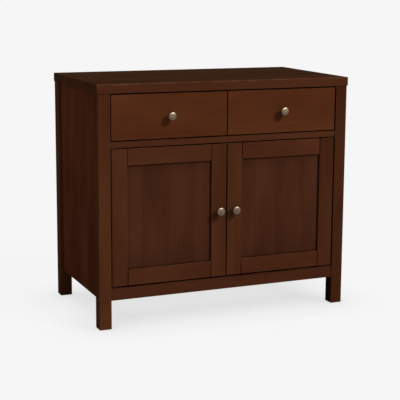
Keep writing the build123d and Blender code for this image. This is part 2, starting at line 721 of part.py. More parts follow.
def make_door(name, side):
    """A framed door: two stiles, two rails, a loose panel, its knob, strike and hinge leaves."""
    door_y = (FACE_Y, BEHIND_Y)
    outer_x = (FRONT_X[1] - STILE, FRONT_X[1])
    inner_x = (FRONT_X[0], FRONT_X[0] + STILE)
    between_x = (inner_x[1], outer_x[0])
    bottom_z = (DOOR_Z[0], DOOR_Z[0] + DOOR_RAIL)
    top_z = (DOOR_Z[1] - DOOR_RAIL, DOOR_Z[1])
    panel_z = (bottom_z[1], top_z[0])
    knob_at = (side * middle(inner_x), middle(DOOR_Z))
    tongue_reach = DOOR_GROOVE - PANEL_ROOM

    with BuildPart() as outer_stile:
        block(sided(side, outer_x), door_y, DOOR_Z)
        chamfer(outer_stile.edges().group_by(Axis.Y)[0], DOOR_CHAMFER)
        block(
            sided(side, (outer_x[0] - CUT_PAST, outer_x[0] + DOOR_GROOVE)),
            grown(DOOR_PANEL_Y, GLUE_GAP),
            grown(DOOR_Z, CUT_PAST),
            mode=Mode.SUBTRACT,
        )
        for up in (-1, 1):
            with BuildSketch(Plane.XY.offset(door_leaf_z(up)[1])):
                leaf_outline(side, GLUE_GAP)
            extrude(amount=up * LEAF, mode=Mode.SUBTRACT)
            screw_holes(door_leaf_seats(side, up))
    save(outer_stile, f"{name}_outer_stile")

    with BuildPart() as inner_stile:
        block(sided(side, inner_x), door_y, DOOR_Z)
        chamfer(inner_stile.edges().group_by(Axis.Y)[0], DOOR_CHAMFER)
        block(
            sided(side, (inner_x[1] - DOOR_GROOVE, inner_x[1] + CUT_PAST)),
            grown(DOOR_PANEL_Y, GLUE_GAP),
            grown(DOOR_Z, CUT_PAST),
            mode=Mode.SUBTRACT,
        )
        knob_hole(*knob_at)
        screw_holes([strike_seat(side)])
    save(inner_stile, f"{name}_inner_stile")

    groove_zs = {"top": (top_z[0] - CUT_PAST, top_z[0] + DOOR_GROOVE)}
    groove_zs["bottom"] = (bottom_z[1] - DOOR_GROOVE, bottom_z[1] + CUT_PAST)
    for end, rail_z in (("top", top_z), ("bottom", bottom_z)):
        with BuildPart() as door_rail:
            block(sided(side, between_x), door_y, rail_z)
            chamfer(door_rail.edges().group_by(Axis.Y)[0], DOOR_CHAMFER)
            block(sided(side, grown(between_x, tongue_reach)), DOOR_PANEL_Y, rail_z)
            block(
                sided(side, grown(between_x, DOOR_GROOVE + CUT_PAST)),
                grown(DOOR_PANEL_Y, GLUE_GAP),
                groove_zs[end],
                mode=Mode.SUBTRACT,
            )
        save(door_rail, f"{name}_{end}_rail")

    with BuildPart() as panel:
        block(
            sided(side, grown(between_x, tongue_reach)), DOOR_PANEL_Y, grown(panel_z, tongue_reach)
        )
    save(panel, f"{name}_panel")

    with BuildPart() as strike_plate:
        seat = strike_seat(side)
        block(
            about(seat.origin.X, STRIKE_WIDTH),
            (BEHIND_Y, BEHIND_Y + STRIKE_THICKNESS),
            STRIKE_Z,
        )
        fillet(strike_plate.edges().filter_by(Axis.Y), RAIL_EDGE)
        screw_holes([seat])
    save(strike_plate, f"{name}_strike_plate")

    with BuildPart() as hinge_leaves:
        for up in (-1, 1):
            open_face, buried_face = door_leaf_z(up)
            with BuildSketch(Plane.XY.offset(open_face)):
                leaf_outline(side)
            extrude(amount=buried_face - open_face)
            with Locations(Plane(origin=(side * PIVOT_X, FACE_Y, open_face), z_dir=(0, 0, up))):
                Hole(HINGE_PIN_RADIUS + RUN_FIT, LEAF)
            screw_holes(door_leaf_seats(side, up))
    save(hinge_leaves, f"{name}_hinge_leaves")

    with BuildPart() as door_screws:
        screws([strike_seat(side)])
        for up in (-1, 1):
            screws(door_leaf_seats(side, up))
    save(door_screws, f"{name}_screws")

    make_knob(name, *knob_at)


make_drawer("left_drawer", -1)
make_drawer("right_drawer", 1)
make_door("left_door", -1)
make_door("right_door", 1)
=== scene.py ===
"""Looks of the sideboard: stained wood, pale drawer boxes, metal fittings and a pale studio round it."""

import math
import random

import bmesh
import bpy
from mathutils import Matrix, Vector


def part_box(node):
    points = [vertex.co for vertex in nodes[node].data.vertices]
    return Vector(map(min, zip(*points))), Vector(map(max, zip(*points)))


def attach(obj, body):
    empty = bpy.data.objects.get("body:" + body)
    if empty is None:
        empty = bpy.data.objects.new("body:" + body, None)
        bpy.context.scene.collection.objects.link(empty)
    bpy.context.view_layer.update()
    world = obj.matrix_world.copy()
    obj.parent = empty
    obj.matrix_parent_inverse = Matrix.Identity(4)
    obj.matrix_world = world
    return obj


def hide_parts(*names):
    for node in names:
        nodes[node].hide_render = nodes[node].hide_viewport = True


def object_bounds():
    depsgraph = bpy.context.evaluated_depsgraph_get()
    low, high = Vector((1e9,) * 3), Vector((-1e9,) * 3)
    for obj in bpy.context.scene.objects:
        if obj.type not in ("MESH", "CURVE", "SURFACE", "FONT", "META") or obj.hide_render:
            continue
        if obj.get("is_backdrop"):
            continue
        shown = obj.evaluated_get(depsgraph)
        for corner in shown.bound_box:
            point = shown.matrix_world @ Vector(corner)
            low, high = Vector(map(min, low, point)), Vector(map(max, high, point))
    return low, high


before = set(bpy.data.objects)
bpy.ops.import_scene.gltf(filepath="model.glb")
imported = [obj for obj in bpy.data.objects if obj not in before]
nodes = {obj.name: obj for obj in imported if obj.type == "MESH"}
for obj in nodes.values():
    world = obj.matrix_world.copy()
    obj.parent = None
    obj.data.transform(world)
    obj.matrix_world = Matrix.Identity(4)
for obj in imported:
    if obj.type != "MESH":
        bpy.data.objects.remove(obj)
cad_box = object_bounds()
random.seed(7)

SIDES = ("left", "right")

# Node trees


class Tree:
    """A node tree written as calls. A value that is a socket is linked, and anything else is set."""

    def __init__(self, tree):
        self.tree = tree

    def add(self, kind, inputs=None, **settings):
        """A new node. Its settings come first, because some of them decide which inputs it has."""
        node = self.tree.nodes.new(kind)
        for key, value in settings.items():
            setattr(node, key, value)
        for key, value in (inputs or {}).items():
            if isinstance(value, bpy.types.NodeSocket):
                self.tree.links.new(value, node.inputs[key])
            else:
                node.inputs[key].default_value = value
        return node

    def math(self, operation, *values, clamp=False):
        inputs = dict(enumerate(values))
        return self.add("ShaderNodeMath", inputs, operation=operation, use_clamp=clamp).outputs[0]

    def vector(self, operation, *values):
        inputs = dict(enumerate(values))
        return self.add("ShaderNodeVectorMath", inputs, operation=operation).outputs[0]

    def plus(self, start, factor, value, clamp=False):
        """start plus factor times value."""
        return self.math("MULTIPLY_ADD", value, factor, start, clamp=clamp)

    def product(self, *factors):
        total = factors[0]
        for factor in factors[1:]:
            total = self.math("MULTIPLY", total, factor)
        return total

    def radius(self, a, b):
        """How far the point (a, b) is from the origin."""
        return self.math("SQRT", self.math("ADD", self.product(a, a), self.product(b, b)))

    def step(self, value, low, high, to_low=0.0, to_high=1.0):
        """Smooth change from to_low to to_high as value goes from low to high."""
        inputs = {0: value, 1: low, 2: high, 3: to_low, 4: to_high}
        return self.add("ShaderNodeMapRange", inputs, interpolation_type="SMOOTHSTEP").outputs[0]

    def near(self, value, line, reach, dark, full=0.0):
        """dark where value is within full of line, going smoothly to 1 at reach from it."""
        gap = self.math("ABSOLUTE", self.math("SUBTRACT", value, line))
        return self.step(gap, full, reach, dark, 1.0)

    def mix(self, factor, a, b):
        """The colour that lies between a and b by factor."""
        return self.add("ShaderNodeMix", {0: factor, 6: a, 7: b}, data_type="RGBA").outputs[2]

    def noise(self, vector, scale, detail=2.0, roughness=0.5):
        """Noise with about scale features in a metre. Three numbers give each axis its own scale."""
        if isinstance(scale, tuple):
            vector, scale = self.vector("MULTIPLY", vector, scale), 1.0
        inputs = {"Vector": vector, "Scale": scale, "Detail": detail, "Roughness": roughness}
        return self.add("ShaderNodeTexNoise", inputs).outputs["Fac"]

    def triple(self, value):
        """value as all three parts of a vector or colour."""
        return self.add("ShaderNodeCombineXYZ", {0: value, 1: value, 2: value}).outputs[0]

    def split(self, vector):
        return self.add("ShaderNodeSeparateXYZ", {0: vector}).outputs

    def place(self):
        """Where the point is on the part at rest, in metres."""
        return self.add("ShaderNodeTexCoord").outputs["Object"]

    def facing(self):
        """The surface's normal on the part at rest."""
        return self.add("ShaderNodeTexCoord").outputs["Normal"]

    def bump(self, strength, distance, height):
        inputs = {"Strength": strength, "Distance": distance, "Height": height}
        return self.add("ShaderNodeBump", inputs).outputs[0]

    def group(self, tree, inputs):
        return self.add("ShaderNodeGroup", inputs, node_tree=tree).outputs


# Materials, node groups and objects

FLOAT, VECTOR, COLOUR = "NodeSocketFloat", "NodeSocketVector", "NodeSocketColor"


def colour(rgb):
    return (*rgb, 1.0)


def grey(value):
    return (value, value, value, 1.0)


def new_material(name):
    material = bpy.data.materials.new(name)
    material.use_nodes = True
    material.node_tree.nodes.clear()
    return material, Tree(material.node_tree)


def principled(t, inputs):
    shader = t.add("ShaderNodeBsdfPrincipled", inputs)
    t.add("ShaderNodeOutputMaterial", {"Surface": shader.outputs[0]})


def group_tree(name, inputs):
    """A node group with those inputs: its Tree and the sockets that bring them in."""
    tree = bpy.data.node_groups.new(name, "ShaderNodeTree")
    for key, kind in inputs.items():
        tree.interface.new_socket(key, in_out="INPUT", socket_type=kind)
    t = Tree(tree)
    return t, t.add("NodeGroupInput").outputs


def close_group(t, outputs):
    """Give the group these outputs, each a kind of socket and what it brings out."""
    for key, (kind, value) in outputs.items():
        t.tree.interface.new_socket(key, in_out="OUTPUT", socket_type=kind)
    t.add("NodeGroupOutput", {key: value for key, (kind, value) in outputs.items()})
    return t.tree


def dress(name, material):
    """Give the CAD piece of that name this material alone."""
    data = nodes[name].data
    data.materials.clear()
    data.materials.append(material)


def new_object(name, data):
    made = bpy.data.objects.new(name, data)
    bpy.context.scene.collection.objects.link(made)
    return made


# The figure of the wood

# Features in a metre: two numbers across the grain, and one along it
SWAY_SCALE = (4.0, 4.0, 1.5)
RIPPLE_SCALE = (50.0, 50.0, 5.0)
CLOUD_SCALE = (9.0, 9.0, 2.4)
BAND_SCALE = (55.0, 55.0, 1.6)
FIBRE_SCALE = (420.0, 420.0, 9.0)
PORE_SCALE = (1500.0, 1500.0, 55.0)

PITH_LEAN = 0.04  # sideways for each metre along the board
PITH_SWAY = 0.06  # at most
RINGS_PER_METRE = 110.0
RING_RIPPLE = 1.2  # at most, in rings
LATE_WOOD = (0.30, 0.85)  # where in its growth a ring darkens
RING_END = (1.0, 0.9)  # where it ends, and where its darkest part does
PORE_LEVEL = (0.63, 0.72)  # of the noise, from no pore to a full one


def make_figure_group():
    """Figure of a board whose grain runs along Z: slow clouds, growth rings, fibre streaks and pores."""
    t, given = group_tree("wood_figure", {"Grain": VECTOR})
    grain = given["Grain"]
    x, y, z = t.split(grain)
    # Rings round a pith that leans and sways along the board
    sway = t.noise(grain, SWAY_SCALE)
    lean = t.plus(t.math("MULTIPLY", sway, PITH_SWAY), PITH_LEAN, z)
    from_pith = t.radius(t.math("ADD", x, lean), y)
    ripple = t.noise(grain, RIPPLE_SCALE)
    years = t.plus(t.math("MULTIPLY", ripple, RING_RIPPLE), RINGS_PER_METRE, from_pith)
    ring = t.math("FRACT", years)
    pores = t.noise(grain, PORE_SCALE, detail=1.0)
    return close_group(
        t,
        {
            "Cloud": (FLOAT, t.noise(grain, CLOUD_SCALE, detail=3.0)),
            "Rings": (FLOAT, t.product(t.step(ring, *LATE_WOOD), t.step(ring, *RING_END))),
            "Bands": (FLOAT, t.noise(grain, BAND_SCALE)),
            "Fibres": (FLOAT, t.noise(grain, FIBRE_SCALE, detail=3.0, roughness=0.6)),
            "Pores": (FLOAT, t.step(pores, *PORE_LEVEL)),
        },
    )


FIGURE = make_figure_group()

# What goes both lighter and darker. Rings and pores only go one way.
BOTH_WAYS = ("Cloud", "Bands", "Fibres")


def figure_tone(t, figure, start, amounts):
    """start, changed by each part of the figure by its amount."""
    tone = start
    for key, amount in amounts.items():
        value = figure[key]
        if key in BOTH_WAYS:
            value = t.math("SUBTRACT", value, 0.5)
        tone = t.plus(tone, amount, value)
    return tone


# Which way the grain runs: the turn that brings it onto Z
ALONG = {
    "x": (0.0, -math.pi / 2, 0.0),
    "y": (math.pi / 2, 0.0, 0.0),
    "z": (0.0, 0.0, 0.0),
}
# Limits of the random shift of a piece's figure: two pairs across the grain, and one along it
FIGURE_SHIFT = ((-0.1, 0.1), (0.05, 0.12), (-3.0, 3.0))
NEXT_BOARD = (0.173, 0.173, 1.31)  # from one board's figure to its neighbour's


def board_number(t, value, joints):
    """How many of the joints lie below value."""
    number = t.math("GREATER_THAN", value, joints[0])
    for joint in joints[1:]:
        number = t.math("ADD", number, t.math("GREATER_THAN", value, joint))
    return number


def grain_of(t, along, boards=None):
    """A piece's own coordinates, with the grain along Z.

    boards are the axis that its boards lie side by side on, and the joints between them.
    """
    shift = tuple(random.uniform(*limits) for limits in FIGURE_SHIFT)
    place = t.place()
    if boards:
        axis, joints = boards
        number = board_number(t, t.split(place)["xyz".index(axis)], joints)
        place = t.vector("ADD", place, t.vector("MULTIPLY", t.triple(number), NEXT_BOARD))
    inputs = {"Vector": place, "Location": shift, "Rotation": ALONG[along]}
    return t.add("ShaderNodeMapping", inputs).outputs[0]


BOARD_STRAY = 0.15  # how far a joint strays, as a share of a board's width


def joints_between(low, high, count):
    """Joints of a board glued up from count strips of slightly different widths."""
    pitch = (high - low) / count
    return [low + pitch * (k + random.uniform(-BOARD_STRAY, BOARD_STRAY)) for k in range(1, count)]


def glued_in_depth(name, count):
    """The boards of a piece that is glued up from front to back."""
    low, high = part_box(name)
    return ("y", joints_between(low.y, high.y, count))


# Stained wood

STAIN_DEEP = (0.070, 0.0198, 0.0078)
STAIN_WARM = (0.080, 0.0240, 0.0094)
# Tone of the arrises: rubbed stain, and a painted highlight where light catches them
STAIN_RUBBED_AND_HIGHLIT = (0.120, 0.0460, 0.0210)
STAIN_FIGURE = {"Cloud": 0.45, "Bands": 0.12, "Fibres": 0.22, "Rings": -0.05, "Pores": -0.15}
WARM_LEVEL = (0.35, 0.65)  # of the clouds, from deep to warm
STAIN_ROUGHNESS = 0.42
FIBRE_ROUGHNESS = 0.16
PORE_ROUGHNESS = 0.1
WORN_ROUGHNESS = -0.08
PORE_HEIGHT = -0.6
RING_HEIGHT = 0.2
WOOD_BUMP = 0.3
WOOD_BUMP_DEPTH = 0.0003

# Where the arrises are rubbed and a painted highlight runs along them
WEAR_PATCHES = 14.0  # in a metre
WEAR_FRAYS = 260.0  # in a metre
PATCH_LEVEL = (0.36, 0.66)  # of the noise, from outside a patch to inside
PATCH_REACH = (0.35, 1.3)  # outside and inside the patches, as a share of the reach
LEAST_FRAY = 0.5  # as a share of the reach
ARRIS_REACH = 0.0016  # how far from an arris the stain is rubbed
USUAL_WEAR_AND_HIGHLIGHT = 0.5


def make_edge_group():
    """Distance to the nearest edge line of the box from Low to High, for a point on its surface."""
    t, given = group_tree("box_edges", {"Low": VECTOR, "High": VECTOR})
    inward = t.vector("SUBTRACT", t.place(), given["Low"])
    outward = t.vector("SUBTRACT", given["High"], t.place())
    x, y, z = t.split(t.vector("MINIMUM", inward, outward))
    rest = t.math("MINIMUM", t.math("MAXIMUM", x, y), z)
    second = t.math("MAXIMUM", t.math("MINIMUM", x, y), rest)
    return close_group(t, {"Distance": (FLOAT, second)})


EDGES = make_edge_group()


def wear_and_arris_highlight(t, given):
    """How far the stain is rubbed through and lightened as a painted highlight, from 0 to 1: in frayed
    patches along the arrises.
    """
    edge = t.group(EDGES, {"Low": given["Low"], "High": given["High"]})[0]
    patches = t.noise(t.place(), WEAR_PATCHES, detail=3.0, roughness=0.6)
    fray = t.noise(t.place(), WEAR_FRAYS)
    reach = t.math("MULTIPLY", t.step(patches, *PATCH_LEVEL, *PATCH_REACH), given["Reach"])
    limit = t.math("MULTIPLY", reach, t.math("ADD", fray, LEAST_FRAY))
    worn_and_lit = t.math("SUBTRACT", 1.0, t.math("DIVIDE", edge, limit), clamp=True)
    return t.math("MULTIPLY", worn_and_lit, given["Wear_and_highlight"], clamp=True)


def make_stain_group():
    """Dark stain: the wood's figure shows faintly, and the arrises are lighter, rubbed through and with
    a painted highlight.
    """
    t, given = group_tree(
        "stained_wood",
        {
            "Grain": VECTOR,
            "Low": VECTOR,
            "High": VECTOR,
            "Tint": COLOUR,
            "Shade": FLOAT,
            "Wear_and_highlight": FLOAT,
            "Reach": FLOAT,
        },
    )
    figure = t.group(FIGURE, {"Grain": given["Grain"]})
    tone = t.product(figure_tone(t, figure, 1.0, STAIN_FIGURE), given["Shade"])
    warmth = t.step(figure["Cloud"], *WARM_LEVEL)
    base = t.mix(warmth, colour(STAIN_DEEP), colour(STAIN_WARM))
    tinted = t.vector("MULTIPLY", base, given["Tint"])
    stained = t.vector("MULTIPLY", tinted, t.triple(tone))
    worn_and_lit = wear_and_arris_highlight(t, given)
    rough = t.plus(STAIN_ROUGHNESS, FIBRE_ROUGHNESS, figure["Fibres"])
    rough = t.plus(rough, PORE_ROUGHNESS, figure["Pores"])
    rough = t.plus(rough, WORN_ROUGHNESS, worn_and_lit)
    height = t.plus(figure["Fibres"], PORE_HEIGHT, figure["Pores"])
    height = t.plus(height, RING_HEIGHT, figure["Rings"])
    return close_group(
        t,
        {
            "Color": (COLOUR, t.mix(worn_and_lit, stained, colour(STAIN_RUBBED_AND_HIGHLIT))),
            "Roughness": (FLOAT, rough),
            "Normal": (VECTOR, t.bump(WOOD_BUMP, WOOD_BUMP_DEPTH, height)),
        },
    )


STAIN = make_stain_group()


def stain(name, along, tint, shade=None, wear_and_highlight=USUAL_WEAR_AND_HIGHLIGHT, arrises=None, boards=None, reach=ARRIS_REACH):
    """Stain one piece, whose grain runs along that axis, and rub it thin with a painted highlight within
    reach of its arrises.

    shade is a function that makes its darker places: painted shade, dark joints and board tones. tint
    and the rubbing with its highlight are values, or functions where they vary. arrises are the corners
    of the box that has them, where it isn't the piece's own box. boards are as in grain_of.
    """
    material, t = new_material("stained_" + name)
    low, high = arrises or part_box(name)
    inputs = {
        "Grain": grain_of(t, along, boards),
        "Low": tuple(low),
        "High": tuple(high),
        "Tint": tint(t) if callable(tint) else colour(tint),
        "Shade": shade(t) if shade else 1.0,
        "Wear_and_highlight": wear_and_highlight(t) if callable(wear_and_highlight) else wear_and_highlight,
        "Reach": reach,
    }
    outputs = t.group(STAIN, inputs)
    principled(
        t,
        {
            "Base Color": outputs["Color"],
            "Roughness": outputs["Roughness"],
            "Normal": outputs["Normal"],
            "Specular IOR Level": 0.0,
        },
    )
    dress(name, material)


def toned(tint, tone):
    return tuple(channel * tone for channel in tint)


# Tints of the stain: it took differently on each kind of piece. The last, for the slab's top, is painted
# shade and a painted sheen
ORANGE = (1.13, 1.14, 1.06)
PLAIN = (0.97, 1.04, 1.10)
GREY = (0.84, 0.93, 1.14)
SLAB_TOP_SHADE_AND_SHEEN = (0.70, 0.97, 1.20)

# Painted shade on the edges of the fronts, in the gaps between them

FACE_DEPTH = 0.0010  # what lies deeper than this behind the fronts' faces is an edge
EDGE_ON = (0.6, 0.3)  # how far the normal points along Y, from a face to an edge
# How dark the painted shade on the edges of each kind of piece is, where 1 is as light as its face
DRAWER_EDGES = 0.5
DOOR_RAIL_EDGES = 0.35
DOOR_STILE_EDGES = 0.3
FRONT_RAIL_EDGES = 0.1
LINE_FULL = 0.0012  # half the width of a dark line along an arris, before it fades

face_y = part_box("left_drawer_front")[0].y


def painted_gap_shade(t, dark):
    """Painted shade in the gaps: the edges of doors, drawer fronts and rails are darker than their
    faces.
    """
    y_facing = t.math("ABSOLUTE", t.split(t.facing())[1])
    y = t.split(t.place())[1]
    deep = t.step(y, face_y + FACE_DEPTH / 2, face_y + FACE_DEPTH)
    amount = t.product(deep, t.step(y_facing, *EDGE_ON))
    return t.plus(1.0, dark - 1.0, amount)


# Painted shade on a drawer front's edges, in the gaps round it
def drawer_shade(t):
    return painted_gap_shade(t, DRAWER_EDGES)


# Front rails and posts

RAIL_ARRIS_REACH = 0.003
# Each front rail's tint, and how dark the painted shade along its upper arris is
FRONT_RAILS = {
    "bottom_front_rail": ((0.72, 0.74, 0.82), 0.3),
    "middle_front_rail": ((1.02, 1.11, 1.26), 0.6),
    "top_front_rail": (PLAIN, 1.0),
}
POST_TINTS = {
    "front_left": toned(PLAIN, 0.95),
    # Painted shade: the front right post is darker, as the light falls off towards the right
    "front_right": toned(PLAIN, 0.74),
    "back_left": (1.24, 1.42, 1.62),
    "back_right": toned(PLAIN, 0.95),
}
# How strongly the posts are rubbed on their arrises, with a painted highlight there
POST_WEAR_AND_HIGHLIGHT = 0.7
POST_SHADE = 0.45
POST_TOP_REACH = 0.0028
INWARD = (0.6, 0.9)  # how far the normal points inward, from no shade to full shade


def front_rail_shade(name, dark):
    """Painted shade: dark edges, and a dark line along the upper arris under the doors or drawers."""
    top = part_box(name)[1].z

    def shade(t):
        z = t.split(t.place())[2]
        arris = t.near(z, top, RAIL_ARRIS_REACH, dark, LINE_FULL)
        return t.product(painted_gap_shade(t, FRONT_RAIL_EDGES), arris)

    return shade


def post_shade(name):
    """Painted shade where the post stands beside a front or under the slab."""
    low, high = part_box(name)
    inward = 1.0 if low.x < 0 else -1.0

    def shade(t):
        z = t.split(t.place())[2]
        facing_in = t.math("MULTIPLY", t.split(t.facing())[0], inward)
        inner = t.step(facing_in, *INWARD, 1.0, POST_SHADE)
        return t.product(inner, t.near(z, high.z, POST_TOP_REACH, POST_SHADE, LINE_FULL))

    return shade


for name, (tint, arris) in FRONT_RAILS.items():
    stain(name, "x", tint, front_rail_shade(name, arris))
for name in ("bottom_back_rail", "top_back_rail"):
    stain(name, "x", PLAIN)
for corner, tint in POST_TINTS.items():
    name = f"{corner}_post"
    stain(name, "z", tint, post_shade(name), POST_WEAR_AND_HIGHLIGHT)

# End panels

# Painted light: the left end panel is tinted lighter than the right, making up for the dim light on that
# side
SIDE_PANEL_TINTS = {"left": (1.17, 1.15, 1.30), "right": (0.97, 1.02, 1.10)}
SIDE_PANEL_BOARDS = 4
# How far each shade reaches from its line, and how dark it is there
POST_LINE = (0.004, 0.45)
FRONT_SHADE = (0.200, 0.80)
BACK_SHADE = (0.032, 0.72)
TOP_SHADE = (0.012, 0.70)


def side_panel_shade(name):
    """Painted shade where an end panel meets its posts and the slab."""
    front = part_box("front_left_post")[1].y
    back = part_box("back_left_post")[0].y
    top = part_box(name)[1].z

    def shade(t):
        y, z = t.split(t.place())[1:]
        lines = [t.near(y, line, *POST_LINE) for line in (front, back)]
        soft = [t.near(y, front, *FRONT_SHADE), t.near(y, back, *BACK_SHADE)]
        return t.product(t.near(z, top, *TOP_SHADE), *lines, *soft)

    return shade


for side, tint in SIDE_PANEL_TINTS.items():
    name = f"{side}_side_panel"
    boards = glued_in_depth(name, SIDE_PANEL_BOARDS)
    stain(name, "z", tint, side_panel_shade(name), 0.0, boards=boards)

# Top slab and the boards inside

SLAB_FRONT = (0.86, 0.91, 0.98)
AHEAD = (0.6, 0.8)  # how far the normal points ahead, from the top to the front
SLAB_BOARDS = 5
# The slab's arrises are rubbed, and its upper front arris has a painted highlight
SLAB_REACH = 0.004  # how far from its arrises the slab is rubbed
SLAB_WEAR_AND_HIGHLIGHT = 0.2
SLAB_FRONT_WEAR_AND_HIGHLIGHT = 1.6
# Where the painted highlight on the upper front arris starts, and where it is full:
SLAB_FRONT_DEPTH = (0.010, 0.005)  # from the front: where its wear starts, and where it is full
SLAB_FRONT_DROP = (0.012, 0.006)  # from the top: the same
INSIDE_TONE = 1.1
INSIDE_BOARDS = 4


def slab_tint_with_top_shade(t):
    """Painted shade and a painted sheen: the top is darker and cooler than the front."""
    ahead = t.math("MULTIPLY", t.split(t.facing())[1], -1.0)
    return t.mix(t.step(ahead, *AHEAD), colour(SLAB_TOP_SHADE_AND_SHEEN), colour(SLAB_FRONT))


def slab_wear_and_highlight(t):
    """A painted highlight along the slab's upper front arris, far lighter than its other rubbed arrises.
    """
    low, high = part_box("top_slab")
    y, z = t.split(t.place())[1:]
    front = t.step(y, *(low.y + depth for depth in SLAB_FRONT_DEPTH))
    upper = t.step(z, *(high.z - drop for drop in SLAB_FRONT_DROP))
    return t.plus(SLAB_WEAR_AND_HIGHLIGHT, SLAB_FRONT_WEAR_AND_HIGHLIGHT - SLAB_WEAR_AND_HIGHLIGHT, t.product(front, upper))


boards = glued_in_depth("top_slab", SLAB_BOARDS)
stain("top_slab", "x", slab_tint_with_top_shade, wear_and_highlight=slab_wear_and_highlight, boards=boards, reach=SLAB_REACH)
for name in ("floor_panel", "dust_panel", "shelf"):
    stain(name, "x", toned(PLAIN, INSIDE_TONE), boards=glued_in_depth(name, INSIDE_BOARDS))
stain("drawer_divider", "y", PLAIN)

# Doors and drawer fronts

JOINT_HALF = 0.0014  # half the width of the dark line where two pieces of a door meet
JOINT_FADE = 0.0006  # how far it fades out beside that
JOINT_SHADE = 0.12
STILE_TONES = {
    ("left", "outer_stile"): 0.94,
    ("left", "inner_stile"): 0.91,
    ("right", "inner_stile"): 0.92,
    # Painted shade: the right outer stile is darker, as the light falls off towards the right
    ("right", "outer_stile"): 0.83,
}
RAIL_TINT = (0.92, 0.95, 1.06)
RAIL_TONES = {"left": 0.93, "right": 1.02}
DRAWER_TONES = {"left": 0.97, "right": 1.07}
# How strongly each kind of front is rubbed on its arrises, with a painted highlight there
DRAWER_WEAR_AND_HIGHLIGHT = 0.6
STILE_WEAR_AND_HIGHLIGHT = 0.6
RAIL_WEAR_AND_HIGHLIGHT = 0.7

# Door panels are glued up from boards: each ends at x, and has its own tone
PANEL_BOARDS = {
    "left": ((-0.320, 0.93), (-0.230, 0.89), (-0.126, 0.98), (-0.040, 0.88)),
    "right": ((0.115, 1.06), (0.200, 0.96), (0.311, 0.97), (0.400, 0.98)),
}
TONE_BLEND = 0.003  # how far two boards' tones run into each other beside their joint
# How far each shade reaches from its line, and how dark it is there
# The glue line is a dark joint; the others are painted shade in the panel's recess
GLUE_LINE = (0.0012, 0.72)
PANEL_SIDES = (0.012, 0.80)
PANEL_SILL = (0.006, 0.60)
PANEL_HEAD = (0.006, 0.95)
PANEL_BELOW = (0.11, 0.82)
PANEL_ABOVE = (0.05, 0.82)


def hole_of_door(side):
    """The hole that a door's panel fills: its least and greatest x, and its least and greatest z."""
    edges = sorted(
        corner.x
        for part in ("inner_stile", "outer_stile")
        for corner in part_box(f"{side}_door_{part}")
    )
    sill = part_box(f"{side}_door_bottom_rail")[1].z
    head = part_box(f"{side}_door_top_rail")[0].z
    return edges[1], edges[2], sill, head


door_holes = {side: hole_of_door(side) for side in SIDES}


def joint_line(t, x, joint_x):
    return t.near(x, joint_x, JOINT_HALF + JOINT_FADE, JOINT_SHADE, JOINT_HALF)


def rail_shade(side):
    """Dark joint lines at a door rail's two ends, and painted shade on its edges."""
    ends = door_holes[side][:2]

    def shade(t):
        x = t.split(t.place())[0]
        lines = [joint_line(t, x, end) for end in ends]
        return t.product(painted_gap_shade(t, DOOR_RAIL_EDGES), *lines)

    return shade


def stile_shade(side, joint_x):
    """A dark joint line along a stile's inner edge beside the rails, and painted shade on its edges."""
    sill, head = door_holes[side][2:]

    def shade(t):
        x, y, z = t.split(t.place())
        line = joint_line(t, x, joint_x)
        beside = t.math("MAXIMUM", t.math("LESS_THAN", z, sill), t.math("GREATER_THAN", z, head))
        joint = t.plus(1.0, beside, t.math("SUBTRACT", line, 1.0))
        return t.product(painted_gap_shade(t, DOOR_STILE_EDGES), joint)

    return shade


def panel_shade(side):
    """A door panel's boards and joints, and painted shade in its corners and towards its ends."""
    low_x, high_x, sill, head = door_holes[side]
    boards = PANEL_BOARDS[side]

    def shade(t):
        x, y, z = t.split(t.place())
        tone = boards[0][1]
        shades = []
        for (joint, last_tone), (end, next_tone) in zip(boards, boards[1:]):
            past = t.step(x, joint - TONE_BLEND, joint + TONE_BLEND)
            tone = t.plus(tone, next_tone - last_tone, past)
            shades.append(t.near(x, joint, *GLUE_LINE))
        shades += [t.near(x, line, *PANEL_SIDES) for line in (low_x, high_x)]
        shades += [t.near(z, sill, *PANEL_SILL), t.near(z, head, *PANEL_HEAD)]
        shades += [t.near(z, head, *PANEL_ABOVE), t.near(z, sill, *PANEL_BELOW)]
        return t.product(tone, *shades)

    return shade


def stain_stile(side, part):
    name = f"{side}_door_{part}"
    low_x, high_x = door_holes[side][:2]
    joint_x = low_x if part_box(name)[0].x < low_x else high_x
    tint = toned(PLAIN, STILE_TONES[side, part])
    stain(name, "z", tint, stile_shade(side, joint_x), STILE_WEAR_AND_HIGHLIGHT)


def stain_door_rail(side, part):
    """The rail's tenons run on inside the stiles, so its arrises end at the hole."""
    name = f"{side}_door_{part}"
    low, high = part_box(name)
    low.x, high.x = door_holes[side][:2]
    tint = toned(RAIL_TINT, RAIL_TONES[side])
    stain(name, "x", tint, rail_shade(side), RAIL_WEAR_AND_HIGHLIGHT, (low, high))


def stain_door_panel(side):
    boards = ("x", [end for end, tone in PANEL_BOARDS[side][:-1]])
    stain(f"{side}_door_panel", "z", GREY, panel_shade(side), 0.0, boards=boards)


for side in SIDES:
    tint = toned(ORANGE, DRAWER_TONES[side])
    stain(f"{side}_drawer_front", "x", tint, drawer_shade, DRAWER_WEAR_AND_HIGHLIGHT)
    for part in ("inner_stile", "outer_stile"):
        stain_stile(side, part)
    for part in ("top_rail", "bottom_rail"):
        stain_door_rail(side, part)
    stain_door_panel(side)

# Drawer boxes and the back

